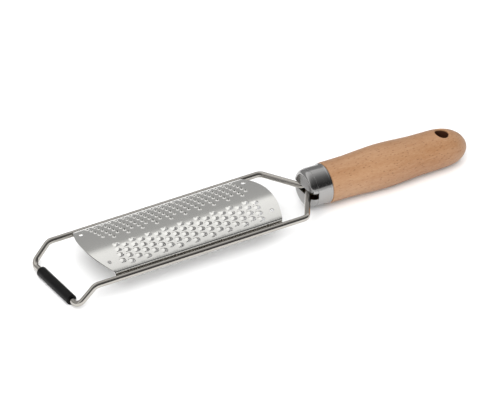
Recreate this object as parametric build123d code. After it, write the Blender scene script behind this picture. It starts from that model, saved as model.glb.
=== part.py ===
from build123d import *
from math import asin, cos, degrees, radians, sin, sqrt
import os

# Rasp zester with a bent wire frame, an arched grater plate and a turned wooden handle.
# Millimetres, +Z up, +X from the foot to the handle, +Y to the finely toothed side.
# The stations below count along X from the front corners of the plate, and heights count
# from the plane of the two rails. The finished pieces then move to the bottom centre of
# the whole, which rests on its foot sleeve and on the belly of the handle.

# Wire frame: one length of stainless wire, bent to a closed loop with two tangs.
wire_diameter = 4.0
rail_spacing = 59.3
rail_lead = 16.6
rail_tail = 16.6
arm_reach = 11.8
foot_drop = 12.2
foot_spacing = 56.9
frame_bend_radius = 5.0
neck_reach = 17.2
tang_pitch = 4.4
tang_length = 46.0

# Foot sleeve: rubber tube pushed onto the crossbar, a little towards the coarsely toothed side.
sleeve_length = 38.6
sleeve_shift = 1.0
sleeve_diameter = 7.0
sleeve_edge_round = 0.5
sleeve_fit = 0.03

# Grater plate: arched sheet with a flange along each side and bowed ends.
plate_length = 122.3
plate_thickness = 0.5
plate_rise = 4.4
flange_stand = 3.1
flange_bend_radius = 1.2
flange_gap = 0.8
front_bow = 7.8
rear_bow = 6.0
corner_hole_diameter = 3.0
front_hole_inset = 0.6
rear_hole_inset = 2.4
corner_hole_inset_y = 8.65

# Coarse teeth: half-round tongues raised towards the handle, in slanting columns.
coarse_column_pitch = 5.94
coarse_row_pitch = 5.0
coarse_stagger = 2.4
coarse_front_margin = 7.3
coarse_rear_margin = 12.9
coarse_side_margin = 6.95
coarse_centre_margin = 4.0
coarse_slant_share = 0.25
tongue_length = 2.0
tongue_width = 2.9
tongue_rise = 0.9
tongue_root = 0.3
mouth_gap = 2.5
slit_gap = 0.55

# Fine teeth: small burrs thrown up around punched holes.
fine_column_pitch = 5.24
fine_row_pitch = 3.7
fine_front_margin = 11.3
fine_rear_margin = 4.9
fine_side_margin = 3.95
fine_centre_margin = 3.9
fine_slant_share = -0.19
burr_base_diameter = 2.9
burr_top_diameter = 1.5
burr_bore_diameter = 1.1
burr_height = 0.8

# Weld nuggets between the flanges and the rails.
nuggets_per_side = 4
nugget_diameter = 1.6
nugget_end_share = 0.08

# Ferrule: drawn steel cup with a blunt round nose, slotted across for the wires.
ferrule_length = 15.6
ferrule_diameter = 25.6
ferrule_wall = 0.7
nose_lead = 2.8
nose_length = 5.4
nose_step = 0.3
nose_round = 3.6
collar_edge_round = 0.3
ferrule_bead_diameter = 1.2
ferrule_slot_depth = 5.4
slot_clearance = 0.15

# Handle: turned beech, with a spigot in the ferrule and a blind bore for the tangs. Its hanging
# hole is turned a few degrees about the axis, towards the coarsely toothed side.
handle_length = 104.8
handle_belly_radius = 14.5
handle_belly_share = 0.42
handle_shoulder_round = 0.7
spigot_clearance = 0.05
spigot_setback = 0.6
tang_bore_diameter = 10.0
hang_hole_diameter = 9.0
hang_hole_inset = 18.3
hang_hole_round = 0.6
hang_hole_turn = 6.0

# Along the handle: station and radius, from the shoulder to the tip of the butt.
handle_profile_shares = [
    (0.0, 0.925),
    (0.16, 0.93),
    (0.40, 1.0),
    (0.66, 0.905),
    (0.80, 0.885),
    (0.90, 0.77),
    (0.965, 0.50),
    (1.0, 0.0),
]

# One overrun serves every cutter that has to pass right through a piece.
cut_over = 2.0

# Derived sizes and places.
wire_radius = wire_diameter / 2
rail_y = rail_spacing / 2
rail_front_x = -rail_lead
crossbar_x = rail_front_x - arm_reach
rail_rear_x = plate_length + rail_tail
neck_x = rail_rear_x + neck_reach
tang_y = tang_pitch / 2
sleeve_radius = sleeve_diameter / 2
rest_depth = foot_drop + sleeve_radius
belly_reach = ferrule_length - nose_lead + handle_belly_share * handle_length
handle_droop = degrees(asin((rest_depth - handle_belly_radius) / belly_reach))
plate_half = rail_y - wire_radius - flange_gap
plate_crown_z = flange_stand + plate_rise
arch_radius = (plate_half**2 + plate_rise**2) / (2 * plate_rise)
ferrule_radius = ferrule_diameter / 2
cavity_radius = ferrule_radius - nose_step - ferrule_wall
spigot_radius = cavity_radius - spigot_clearance
spigot_front_x = ferrule_slot_depth + spigot_setback
slot_half = wire_radius + slot_clearance


def on_handle_axis(piece):
    """Move a piece built along +X from the ferrule's nose onto the drooping handle axis."""
    return Pos(neck_x, 0, 0) * Rot(0, handle_droop, 0) * Pos(-nose_lead, 0, 0) * piece


def wire_path():
    """Centre line of the wire, from one tang round the foot to the other tang."""
    droop = radians(handle_droop)
    tang_end = (neck_x + tang_length * cos(droop), tang_y, -tang_length * sin(droop))
    one_side = [
        tang_end,
        (neck_x, tang_y, 0),
        (rail_rear_x, rail_y, 0),
        (rail_front_x, rail_y, 0),
        (crossbar_x, foot_spacing / 2, -foot_drop),
    ]
    other_side = [(x, -y, z) for x, y, z in reversed(one_side)]
    return FilletPolyline(*one_side, *other_side, radius=frame_bend_radius)


def make_wire_frame():
    path = wire_path()
    section = path.location_at(0) * Circle(wire_radius)
    return sweep(section, path=path)


def make_foot_sleeve():
    tube = Cylinder(sleeve_radius, sleeve_length)
    tube = fillet(tube.edges().filter_by(GeomType.CIRCLE), sleeve_edge_round)
    tube = tube - Cylinder(wire_radius + sleeve_fit, sleeve_length)
    return Pos(crossbar_x, -sleeve_shift, -foot_drop) * Rot(90, 0, 0) * tube


def sheet_height(y):
    """Height of the plate's upper face at a distance y from its centre line."""
    return plate_crown_z - arch_radius + sqrt(arch_radius**2 - y**2)


def plate_section():
    """Cross-section of the sheet: an arch with a flange turned down along each side."""
    half = plate_half
    inner_half = half - plate_thickness
    crown = ThreePointArc((-half, flange_stand), (0, plate_crown_z), (half, flange_stand))
    under_edge = flange_stand - plate_thickness
    under_crown = plate_crown_z - plate_thickness
    under = ThreePointArc((inner_half, under_edge), (0, under_crown), (-inner_half, under_edge))
    far_flange = Polyline((half, flange_stand), (half, 0), (inner_half, 0), (inner_half, under_edge))
    near_flange = Polyline((-inner_half, under_edge), (-inner_half, 0), (-half, 0), (-half, flange_stand))
    face = make_face([crown, far_flange, under, near_flange])
    outer_corners = face.vertices().filter_by(lambda corner: corner.Y > flange_stand - plate_thickness / 2)
    face = fillet(outer_corners, flange_bend_radius)
    inner_corners = face.vertices().filter_by(
        lambda corner: abs(corner.Y - under_edge) < plate_thickness / 4
        and abs(abs(corner.X) - inner_half) < plate_thickness / 4
    )
    return fillet(inner_corners, flange_bend_radius - plate_thickness)


def plate_outline():
    """Plan of the plate, with both ends bowed outwards."""
    half = plate_half
    front = ThreePointArc((0, half), (-front_bow, 0), (0, -half))
    near_side = Line((0, -half), (plate_length, -half))
    rear = ThreePointArc((plate_length, -half), (plate_length + rear_bow, 0), (plate_length, half))
    far_side = Line((plate_length, half), (0, half))
    return make_face([front, near_side, rear, far_side])


def tooth_place(x, y):
    """Seat of a tooth on the arched sheet, square to its upper face."""
    return Pos(x, y, sheet_height(y)) * Rot(-degrees(asin(y / arch_radius)), 0, 0)


def tongue_outline(length, width):
    """Half-round tongue in plan, with its straight root at x = 0."""
    half = width / 2
    sides = Polyline((length - half, half), (0, half), (0, -half), (length - half, -half))
    tip = ThreePointArc((length - half, -half), (length, 0), (length - half, half))
    return make_face([sides, tip])


def count_within(span, pitch):
    """How many copies at a pitch fit into a span, with one at its start."""
    return int(span / pitch) + 1


def coarse_places():
    """Columns start at the side of the plate and lean back as they run in to its centre."""
    columns = count_within(plate_length - coarse_front_margin - coarse_rear_margin, coarse_column_pitch)
    outer_y = plate_half - coarse_side_margin
    rows = count_within(outer_y - coarse_centre_margin, coarse_row_pitch)
    for column in range(columns):
        for row in range(rows):
            inward = coarse_row_pitch * row - coarse_stagger * (column % 2)
            x = coarse_front_margin + coarse_column_pitch * column + coarse_slant_share * inward
            yield x, inward - outer_y


def fine_places():
    """The row next to the centre line has a tooth in every second column only."""
    columns = count_within(plate_length - fine_front_margin - fine_rear_margin, fine_column_pitch)
    rows = count_within(plate_half - fine_side_margin - fine_centre_margin, fine_row_pitch)
    for row in range(rows):
        outward = fine_row_pitch * row
        step = 2 if row == 0 else 1
        for column in range(step - 1, columns, step):
            x = fine_front_margin + fine_column_pitch * column + fine_slant_share * outward
            yield x, fine_centre_margin + outward


def coarse_tooth_shapes():
    """The opening cut through the sheet and the raised tongue that stands in it."""
    opening = extrude(tongue_outline(tongue_length + mouth_gap, tongue_width + 2 * slit_gap), cut_over, both=True)
    lift = degrees(asin(tongue_rise / tongue_length))
    blank = extrude(tongue_outline(tongue_length + tongue_root, tongue_width), -plate_thickness)
    return opening, Rot(0, -lift, 0) * Pos(-tongue_root, 0, 0) * blank


def fine_tooth_shapes():
    """The punched hole and the burr around it."""
    bore = Cylinder(burr_bore_diameter / 2, 2 * cut_over)
    root = plate_thickness / 2
    cone = Cone(burr_base_diameter / 2, burr_top_diameter / 2, burr_height + root)
    burr = Pos(0, 0, (burr_height - root) / 2) * (cone - bore)
    return bore, burr


def make_grater_plate():
    length = plate_length + front_bow + rear_bow
    section = Plane.YZ.offset(-front_bow) * plate_section()
    sheet = extrude(section, length) & extrude(plate_outline(), plate_crown_z + cut_over)

    corner_x = (front_hole_inset, plate_length - rear_hole_inset)
    corner_y = plate_half - corner_hole_inset_y
    corner_bore = Cylinder(corner_hole_diameter / 2, plate_crown_z * 2 + cut_over)
    cutters = [Pos(x, y, 0) * corner_bore for x in corner_x for y in (-corner_y, corner_y)]

    opening, tongue = coarse_tooth_shapes()
    bore, burr = fine_tooth_shapes()
    raised = []
    for x, y in coarse_places():
        cutters.append(tooth_place(x, y) * opening)
        raised.append(tooth_place(x, y) * tongue)
    for x, y in fine_places():
        cutters.append(tooth_place(x, y) * bore)
        raised.append(tooth_place(x, y) * burr)
    return (sheet - cutters) + raised


def make_weld_nuggets(wire_frame):
    """Nuggets fill the narrow gap from the flange to the round of the wire."""
    reach = flange_gap + wire_radius - sqrt(wire_radius**2 - nugget_diameter**2)
    blank = Rot(90, 0, 0) * Cylinder(nugget_diameter / 2, reach)
    first_x = plate_length * nugget_end_share
    step = plate_length * (1 - 2 * nugget_end_share) / (nuggets_per_side - 1)
    nuggets = []
    for side in (-1, 1):
        for place in range(nuggets_per_side):
            at = Pos(first_x + step * place, side * (plate_half + reach / 2), nugget_diameter / 2)
            nuggets.append(at * blank - wire_frame)
    return nuggets


def make_ferrule():
    """Nose and collar share one cavity, and the slot lets the two wires in side by side."""
    nose = extrude(Plane.YZ * Circle(ferrule_radius - nose_step), nose_length)
    nose = fillet(nose.edges().sort_by(Axis.X)[0], nose_round)
    collar = extrude(Plane.YZ.offset(nose_length) * Circle(ferrule_radius), ferrule_length - nose_length)
    collar = fillet(collar.edges().sort_by(Axis.X)[0], collar_edge_round)
    cavity = extrude(Plane.YZ.offset(ferrule_wall) * Circle(cavity_radius), ferrule_length)
    cavity = fillet(cavity.edges().sort_by(Axis.X)[0], nose_round - ferrule_wall)
    bead_radius = ferrule_bead_diameter / 2
    bead_ring = Torus(ferrule_radius - bead_radius / 2, bead_radius)
    bead = Pos(ferrule_length - bead_radius, 0, 0) * Rot(0, 90, 0) * bead_ring
    slot = Box(2 * ferrule_slot_depth, ferrule_diameter + cut_over, 2 * slot_half)
    return on_handle_axis(nose + collar + bead - cavity - slot)


def handle_body():
    """Turned outline, revolved: shoulder, swelling belly, slight waist and rounded butt."""
    points = [(x * handle_length, r * handle_belly_radius) for x, r in handle_profile_shares]
    outline = Spline(*points, tangents=[(1, 0), (0, -1)])
    closing = Polyline(points[-1], (0, 0), points[0])
    body = revolve(Plane.XZ * make_face([outline, closing]), Axis.X)
    return fillet(body.edges().sort_by(Axis.X)[0], handle_shoulder_round)


def make_handle():
    spigot_length = ferrule_length - spigot_front_x
    spigot = extrude(Plane.YZ.offset(-spigot_length) * Circle(spigot_radius), spigot_length)
    body = Pos(ferrule_length, 0, 0) * (handle_body() + spigot)
    hang_x = ferrule_length + handle_length - hang_hole_inset
    drill = Cylinder(hang_hole_diameter / 2, 2 * handle_belly_radius + cut_over)
    hang_hole = Pos(hang_x, 0, 0) * Rot(hang_hole_turn, 0, 0) * drill
    body = body - hang_hole - tang_bore()
    rims = body.edges().filter_by(
        lambda edge: abs(edge.center().X - hang_x) < hang_hole_diameter / 2
        and abs(edge.center().Z) > handle_belly_radius / 2
        and edge.bounding_box().size.X < hang_hole_diameter + cut_over
    )
    return on_handle_axis(fillet(rims, hang_hole_round))


def tang_bore():
    """Blind bore for the tangs, from the spigot's front to just past the tang ends."""
    depth = tang_length + nose_lead + wire_radius - spigot_front_x
    return extrude(Plane.YZ.offset(spigot_front_x) * Circle(tang_bore_diameter / 2), depth)


def make_resin_plug(wire_frame):
    return on_handle_axis(tang_bore()) - wire_frame


def build_pieces():
    wire_frame = make_wire_frame()
    return {
        "wire_frame": wire_frame,
        "grater_plate": make_grater_plate(),
        "spot_welds": Compound(children=make_weld_nuggets(wire_frame)),
        "foot_sleeve": make_foot_sleeve(),
        "ferrule": make_ferrule(),
        "handle": make_handle(),
        "resin_plug": make_resin_plug(wire_frame),
    }


def bottom_centre(pieces):
    box = Compound(children=[Pos(0, 0, 0) * piece for piece in pieces]).bounding_box()
    return Vector(box.center().X, box.center().Y, box.min.Z)


def main():
    pieces = build_pieces()
    origin = bottom_centre(pieces.values())
    os.makedirs("parts", exist_ok=True)
    for node, piece in pieces.items():
        export_step(Pos(-origin) * piece, f"parts/{node}.step")


main()
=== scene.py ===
"""Dresses a rasp zester: bent wire frame, toothed grater plate, ferrule, beech handle, rubber foot.

Lengths are properties in metres. The shapes are worked out in millimetres, in the station frame
of the construction: X counts from the plate's front corners and Z from the plane of the rails.
"""

from math import asin, ceil, cos, degrees, hypot, pi, radians, sin, sqrt, tan
from types import SimpleNamespace

import bmesh
import bpy
import numpy as np
from bpy.props import FloatProperty, FloatVectorProperty, IntProperty, PointerProperty
from bpy.types import Operator, Panel, PropertyGroup
from mathutils import Matrix, Vector
from mathutils.geometry import delaunay_2d_cdt
from mathutils.kdtree import KDTree


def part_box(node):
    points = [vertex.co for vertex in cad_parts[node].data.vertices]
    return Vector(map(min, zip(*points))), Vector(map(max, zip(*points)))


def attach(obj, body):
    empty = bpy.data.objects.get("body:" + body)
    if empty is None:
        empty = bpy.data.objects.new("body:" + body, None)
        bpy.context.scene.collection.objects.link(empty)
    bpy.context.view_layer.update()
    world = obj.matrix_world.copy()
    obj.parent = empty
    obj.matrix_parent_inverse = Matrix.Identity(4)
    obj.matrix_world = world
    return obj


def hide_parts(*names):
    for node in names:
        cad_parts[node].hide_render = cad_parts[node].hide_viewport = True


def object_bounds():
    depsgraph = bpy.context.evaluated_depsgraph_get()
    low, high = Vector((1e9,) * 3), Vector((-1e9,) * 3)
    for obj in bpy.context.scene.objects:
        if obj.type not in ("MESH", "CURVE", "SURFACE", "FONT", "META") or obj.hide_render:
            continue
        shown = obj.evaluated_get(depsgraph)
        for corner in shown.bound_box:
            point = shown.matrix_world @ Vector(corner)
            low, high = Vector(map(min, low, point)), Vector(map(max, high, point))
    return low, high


bl_info = {
    "name": "Rasp zester",
    "version": (1, 0, 0),
    "blender": (4, 5, 0),
    "location": "3D View > Sidebar > Zester",
    "description": "Models and finishes a two-grit rasp zester with a wire frame and a beech handle",
    "category": "Add Mesh",
}

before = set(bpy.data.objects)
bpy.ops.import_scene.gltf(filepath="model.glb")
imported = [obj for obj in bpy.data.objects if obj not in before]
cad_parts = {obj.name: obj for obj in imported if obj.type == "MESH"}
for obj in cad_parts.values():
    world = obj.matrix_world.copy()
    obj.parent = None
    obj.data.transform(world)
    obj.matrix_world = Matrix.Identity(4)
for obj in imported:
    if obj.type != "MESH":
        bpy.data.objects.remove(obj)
cad_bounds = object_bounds()

MM = 0.001


def length(name, description, size_mm, least_mm=0.0):
    """A length property with its default in millimetres."""
    return FloatProperty(
        name=name, description=description, default=size_mm * MM, min=least_mm * MM,
        unit="LENGTH", precision=5,
    )


def linear_channel(value):
    """One sRGB channel, 0 to 1, turned to linear light."""
    return value / 12.92 if value <= 0.04045 else ((value + 0.055) / 1.055) ** 2.4


def linear(hex_colour):
    """An sRGB hex colour such as #C8C6C2 as linear red, green and blue."""
    return tuple(linear_channel(int(hex_colour[i:i + 2], 16) / 255) for i in (1, 3, 5))


def colour(name, description, hex_colour):
    """A colour property with its default as sRGB hex."""
    return FloatVectorProperty(
        name=name, description=description, default=linear(hex_colour), min=0.0, max=1.0,
        size=3, subtype="COLOR",
    )


class ZesterWireSizes(PropertyGroup):
    """Sizes of the bent wire frame and of the sleeve on its crossbar."""

    diameter: length("Wire", "Diameter of the frame wire", 4.0)
    rail_spacing: length("Rail spacing", "Between the centre lines of the two rails", 59.3)
    rail_lead: length("Rail lead", "Rails in front of the plate's corners", 16.6)
    rail_tail: length("Rail tail", "Rails behind the plate's corners", 16.6)
    arm_reach: length("Arm reach", "Forward reach of the arms that carry the foot", 11.8)
    foot_drop: length("Foot drop", "Drop from the rails to the crossbar", 12.2)
    foot_spacing: length("Foot spacing", "Between the arms at the crossbar", 56.9)
    bend_radius: length("Bend radius", "Centre-line radius of every bend", 5.0)
    neck_reach: length("Neck reach", "From the rear corners to the ferrule's mouth", 17.2)
    tang_pitch: length("Tang pitch", "Between the two tangs in the handle", 4.4)
    tang_length: length("Tang length", "Length of the tangs inside the handle", 46.0)
    sleeve_round: length("Sleeve edge", "Rounding of the sleeve's end edges", 0.5)
    sleeve_bore: length("Sleeve bore", "Bore of the rubber sleeve", 4.06)
    sides: IntProperty(name="Wire sides", description="Facets around the wire", default=40, min=12)


class ZesterPlateSizes(PropertyGroup):
    """Sizes of the arched, flanged plate."""

    length: length("Length", "Between the front and rear corners", 122.3)
    thickness: length("Thickness", "Thickness of the sheet", 0.5)
    rise: length("Rise", "Rise of the arch over its edges", 4.4)
    flange_stand: length("Flange stand", "Height of the arch's edges over the rails' plane", 3.1)
    bend_radius: length("Bend radius", "Outer radius of the flange bends", 1.2)
    front_bow: length("Front bow", "Bow of the front end", 7.8)
    rear_bow: length("Rear bow", "Bow of the rear end", 6.0)
    hole_diameter: length("Corner holes", "Diameter of the four corner holes", 3.0)
    front_hole_inset: length("Front hole inset", "Front corner holes from the front corners", 0.6)
    rear_hole_inset: length("Rear hole inset", "Rear corner holes from the rear corners", 2.4)
    hole_inset_y: length("Hole inset Y", "Corner holes from the sides", 8.65)
    mesh_step: length("Mesh step", "Spacing of the mesh on the plain sheet", 1.6, 0.3)
    tooth_step: length("Tooth mesh step", "Spacing of the mesh on and round the teeth", 0.55, 0.1)


class ZesterCoarseTeeth(PropertyGroup):
    """Half-round tongues raised towards the handle, in slanting columns."""

    column_pitch: length("Column pitch", "Between columns", 5.94)
    row_pitch: length("Row pitch", "Between rows", 5.0)
    stagger: length("Stagger", "Shift of every second column", 2.4)
    front_margin: length("Front margin", "From the plate's front corners", 7.3)
    rear_margin: length("Rear margin", "From the plate's rear corners", 12.9)
    side_margin: length("Side margin", "From the plate's near side", 6.95)
    centre_margin: length("Centre margin", "From the plate's centre line", 4.0)
    slant: FloatProperty(name="Slant", description="Lean of the columns along X", default=0.25)
    tongue_length: length("Tongue length", "From its root to its tip", 2.0)
    tongue_width: length("Tongue width", "Across the tongue", 2.9)
    tongue_rise: length("Tongue rise", "Rise of the tip over the sheet", 0.9)
    mouth_gap: length("Mouth", "Opening in front of the tip", 2.5)
    slit_gap: length("Slit", "Slit along each side of the tongue", 0.55)


class ZesterFineTeeth(PropertyGroup):
    """Small burrs thrown up around punched holes."""

    column_pitch: length("Column pitch", "Between columns", 5.24)
    row_pitch: length("Row pitch", "Between rows", 3.7)
    front_margin: length("Front margin", "From the plate's front corners", 11.3)
    rear_margin: length("Rear margin", "From the plate's rear corners", 4.9)
    side_margin: length("Side margin", "From the plate's far side", 3.95)
    centre_margin: length("Centre margin", "From the plate's centre line", 3.9)
    slant: FloatProperty(name="Slant", description="Lean of the columns along X", default=-0.19)
    base_diameter: length("Base", "Diameter of the burr's base", 2.9)
    bore_diameter: length("Bore", "Diameter of the hole in the burr", 1.1)
    height: length("Height", "Height of the burr's lip", 0.8)
    mound_height: length("Mound height", "Height of the gentle mound at the foot of the lip", 0.38)
    lip_diameter: length("Lip", "Diameter at the foot of the steep lip", 1.4)
    petals: IntProperty(name="Petals", description="Torn points round the lip", default=4, min=3)
    petal_depth: FloatProperty(
        name="Petal depth", description="Depth of the tears, as a share of the height", default=0.45)


class ZesterFerruleSizes(PropertyGroup):
    """Sizes of the drawn cup between the wires and the handle."""

    length: length("Length", "From the nose to the rear rim", 15.6)
    diameter: length("Diameter", "Diameter of the collar", 25.6)
    wall: length("Wall", "Thickness of the drawn wall", 0.7)
    nose_lead: length("Nose lead", "Nose in front of the wires' neck", 2.8)
    nose_length: length("Nose length", "From the nose to the collar's step", 4.6)
    nose_step: length("Nose step", "Step from the nose up to the collar", 0.3)
    nose_round: length("Nose round", "Rounding of the nose", 3.6)
    edge_round: length("Collar edge", "Rounding of the collar's front edge", 0.3)
    bead_diameter: length("Bead", "Diameter of the rolled rear bead", 1.8)
    slot_depth: length("Slot depth", "Depth of the slot from the nose", 4.6)
    slot_height: length("Slot height", "Height of the slot", 4.3)


class ZesterHandleSizes(PropertyGroup):
    """Sizes of the turned handle."""

    length: length("Length", "From the shoulder to the tip of the butt", 104.8)
    belly_share: FloatProperty(
        name="Belly place", description="Place of the belly along the length", default=0.42)
    shoulder_round: length("Shoulder round", "Rounding of the front edge", 1.1)
    hole_diameter: length("Hole", "Diameter of the hanging hole", 9.0)
    hole_inset: length("Hole inset", "From the hole to the tip of the butt", 18.3)
    hole_round: length("Hole round", "Rounding of the hole's rims", 0.6)
    hole_turn: FloatProperty(
        name="Hole turn", description="Turn of the hole about the handle", default=radians(6.0),
        subtype="ANGLE", unit="ROTATION")
    butt_sag: length("Butt sag", "How far the tip is turned down", 1.7)
    sag_length: length("Sag length", "Length of the butt that turns down", 21.3)
    mesh_step: length("Mesh step", "Spacing of the mesh", 1.2, 0.3)
    sides: IntProperty(name="Sides", description="Facets around the handle", default=96, min=24)


class ZesterFinishes(PropertyGroup):
    """Colours of the materials."""

    wire: colour("Wire", "Polished stainless wire", "#B0ACA6")
    sheet: colour("Sheet", "Rolled stainless sheet", "#DEDDD9")
    # Painted shade: the sheet's underside is given a darker colour so that the holes show shade beneath
    # the plate.
    sheet_back: colour("Sheet underside", "Mill finish under the sheet", "#8C8A86")
    ferrule: colour("Ferrule", "Buffed drawn steel", "#9D9C9B")
    weld: colour("Weld", "Bright parts of the heat-tinted weld metal", "#A39C92")
    weld_pits: colour("Weld pits", "Straw-coloured pits of the weld metal", "#6F655A")
    rubber: colour("Rubber", "Black moulded rubber", "#060606")
    rubber_dust: colour("Rubber dust", "Rubber with a trace of dust on it", "#0E0E0E")
    wood_light: colour("Beech, light", "Early wood of the handle", "#A48060")
    wood_dark: colour("Beech, dark", "Late wood of the handle", "#8E6441")
    wood_pore: colour("Beech pores", "Open pores of the handle", "#643C22")
    # Painted shade: dark brown laid on the wood deep in the hanging hole, where shade falls.
    wood_raw: colour("Bare beech", "Unoiled, darkened wood deep in the hanging hole", "#3B2317")
    resin: colour("Resin", "Pale parts of the cast epoxy round the tangs", "#C2B07A")
    resin_cloud: colour("Resin clouds", "Darker clouds in the cast epoxy", "#8E7B4C")


class ZesterStage(PropertyGroup):
    """Camera and surroundings."""

    azimuth: FloatProperty(
        name="Azimuth", description="Camera's turn round the zester", default=radians(-30.5),
        subtype="ANGLE", unit="ROTATION")
    elevation: FloatProperty(
        name="Elevation", description="Camera's height over the horizon", default=radians(33.1),
        subtype="ANGLE", unit="ROTATION")
    distance: length("Distance", "From the camera to its target", 12000.0)
    view_width: length("View width", "Width of the picture at the target", 318.0)
    target_x: length("Target X", "Middle of the picture from the middle of the zester", -6.55, -50.0)
    target_z: length("Target Z", "Middle of the picture over the middle of the zester", 0.6, -50.0)
    floor_size: length("Floor size", "Side of the square floor", 3000.0)


# Along the handle: station and radius, as shares of its length and of its belly radius.
HANDLE_PROFILE_SHARES = [
    (0.0, 0.925),
    (0.16, 0.93),
    (0.40, 1.0),
    (0.66, 0.905),
    (0.80, 0.885),
    (0.90, 0.77),
    (0.965, 0.50),
    (1.0, 0.0),
]

# Mesh of the plate: points round a burr and a corner hole, and the rings round a burr, as shares
# of the way from its bore to its base.
BURR_SIDES = 16
CORNER_HOLE_SIDES = 28
BURR_RING_SHARES = (0.167, 0.4, 0.7, 1.0, 1.3)

# Mesh of the hanging hole: points round it, and the rings about its rim in millimetres.
HANGING_HOLE_SIDES = 56
HANGING_HOLE_RINGS = (0.45, 1.0, 1.7)

# As shares of the spacing: the nearest that a free mesh point may come to a fixed one, the
# nearest that two points on or round the teeth may come, and the steps along a slit.
NEAREST_SHARE = 0.45
TOOTH_GAP_SHARE = 0.6
SLIT_STEP_SHARE = 0.7

# What polished metal mirrors, as place and brightness, from the horizon in front over the top to
# the horizon behind: a pale strip low in front, a dark wall over it, a ceiling that grows brighter
# towards the back, and a dim wall behind.
ROOM_BRIGHTNESS = (
    (0.0, 0.8), (0.06, 0.8), (0.075, 0.035), (0.2, 0.06), (0.34, 0.17), (0.44, 0.33),
    (0.55, 0.65), (0.63, 0.93), (0.69, 0.98), (0.738, 1.05), (0.767, 0.43), (1.0, 0.37),
)


def in_mm(group):
    """The numbers of a property group, with its lengths in millimetres."""
    values = {}
    for prop in group.bl_rna.properties:
        if prop.type in {"FLOAT", "INT"}:
            scale = 1 / MM if getattr(prop, "unit", "") == "LENGTH" else 1
            values[prop.identifier] = getattr(group, prop.identifier) * scale
    return SimpleNamespace(**values)


def node_box(node):
    """Lowest and highest corner of a node of the frame, in millimetres."""
    low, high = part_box(node)
    return low / MM, high / MM


def station_origin(wire):
    """Where the station frame stands in the frame of the finished object."""
    low, high = node_box("foot_sleeve")
    foot = (low + high) / 2
    return Vector((foot.x + wire.arm_reach + wire.rail_lead, 0, foot.z + wire.foot_drop))


def station_seat():
    """Matrix from the station frame to the frame of the finished object."""
    return Matrix.Translation(station_origin(in_mm(bpy.context.scene.zester_wire)))


def handle_axis_seat():
    """Matrix from the ferrule's own frame, nose at zero and X to the butt, to the finished object."""
    wire = in_mm(bpy.context.scene.zester_wire)
    plate = in_mm(bpy.context.scene.zester_plate)
    ferrule = in_mm(bpy.context.scene.zester_ferrule)
    handle = in_mm(bpy.context.scene.zester_handle)
    sleeve_low, sleeve_high = node_box("foot_sleeve")
    rest_depth = wire.foot_drop + (sleeve_high.z - sleeve_low.z) / 2
    belly_reach = ferrule.length - ferrule.nose_lead + handle.belly_share * handle.length
    droop = asin((rest_depth - belly_radius()) / belly_reach)
    neck = Vector((plate.length + wire.rail_tail + wire.neck_reach, 0, 0))
    to_nose = Matrix.Translation((-ferrule.nose_lead, 0, 0))
    return station_seat() @ Matrix.Translation(neck) @ Matrix.Rotation(droop, 4, "Y") @ to_nose


def belly_radius():
    """Largest radius of the handle, from its width in the frame."""
    return node_box("handle")[1].y


def make_piece(name, points, faces, seat, material, uvs=None):
    """A mesh object from points in millimetres, set in its place by a matrix."""
    mesh = bpy.data.meshes.new(name)
    placed = [tuple((seat @ Vector(point)) * MM) for point in points]
    mesh.from_pydata(placed, [], faces)
    mesh.materials.append(material)
    if uvs is not None:
        layer = mesh.uv_layers.new(name="Surface")
        layer.data.foreach_set("uv", np.array(uvs, float).ravel())
    mesh.polygons.foreach_set("use_smooth", [True] * len(mesh.polygons))
    piece = bpy.data.objects.new(name, mesh)
    bpy.context.scene.collection.objects.link(piece)
    return piece


def clean(piece, weld_distance=0.002):
    """Weld doubled points, drop faces without area and make the normals point outwards."""
    work = bmesh.new()
    work.from_mesh(piece.data)
    bmesh.ops.remove_doubles(work, verts=work.verts, dist=weld_distance * MM)
    bmesh.ops.dissolve_degenerate(work, edges=work.edges, dist=weld_distance * MM / 2)
    bmesh.ops.recalc_face_normals(work, faces=work.faces)
    work.to_mesh(piece.data)
    work.free()


def bake_modifiers(piece):
    """Turn the modified shape into the piece's own mesh."""
    bpy.context.view_layer.update()
    evaluated = piece.evaluated_get(bpy.context.evaluated_depsgraph_get())
    shaped = bpy.data.meshes.new_from_object(evaluated)
    shaped.name = piece.name
    piece.modifiers.clear()
    piece.data = shaped


def dress(piece, node):
    """The piece stands for a node of the frame: it hangs from the root body, and the node is hidden."""
    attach(piece, "root")
    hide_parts(node)


def coat(node, material):
    """Give a node of the frame, whose shape stays, a new material."""
    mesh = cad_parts[node].data
    mesh.materials.clear()
    mesh.materials.append(material)


def coat_underside(piece, material):
    """Give the faces that look down a material of their own, here the painted shade of the underside."""
    down_limit = -0.1
    piece.data.materials.append(material)
    for face in piece.data.polygons:
        if face.normal.z < down_limit:
            face.material_index = 1


def rounded_path(corners, radius, arc_step):
    """Straight runs joined by tangent arcs of one radius, as a list of points."""
    path = [corners[0]]
    for before, corner, after in zip(corners, corners[1:], corners[2:]):
        back = (before - corner).normalized()
        ahead = (after - corner).normalized()
        half_angle = back.angle(ahead) / 2
        centre = corner + (back + ahead).normalized() * (radius / sin(half_angle))
        first_spoke = corner + back * (radius / tan(half_angle)) - centre
        last_spoke = corner + ahead * (radius / tan(half_angle)) - centre
        turn = first_spoke.angle(last_spoke)
        axis = first_spoke.cross(last_spoke).normalized()
        steps = max(3, ceil(radius * turn / arc_step))
        for step in range(steps + 1):
            path.append(centre + Matrix.Rotation(turn * step / steps, 3, axis) @ first_spoke)
    path.append(corners[-1])
    return path


def grid_faces(rows, columns):
    """Quads between rings of points that close on themselves, and the UV step of each corner."""
    faces, steps = [], []
    for row in range(rows - 1):
        for column in range(columns):
            beside = (column + 1) % columns
            faces.append((row * columns + column, row * columns + beside,
                          (row + 1) * columns + beside, (row + 1) * columns + column))
            steps += [(column, row), (column + 1, row), (column + 1, row + 1), (column, row + 1)]
    return faces, steps


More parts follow.
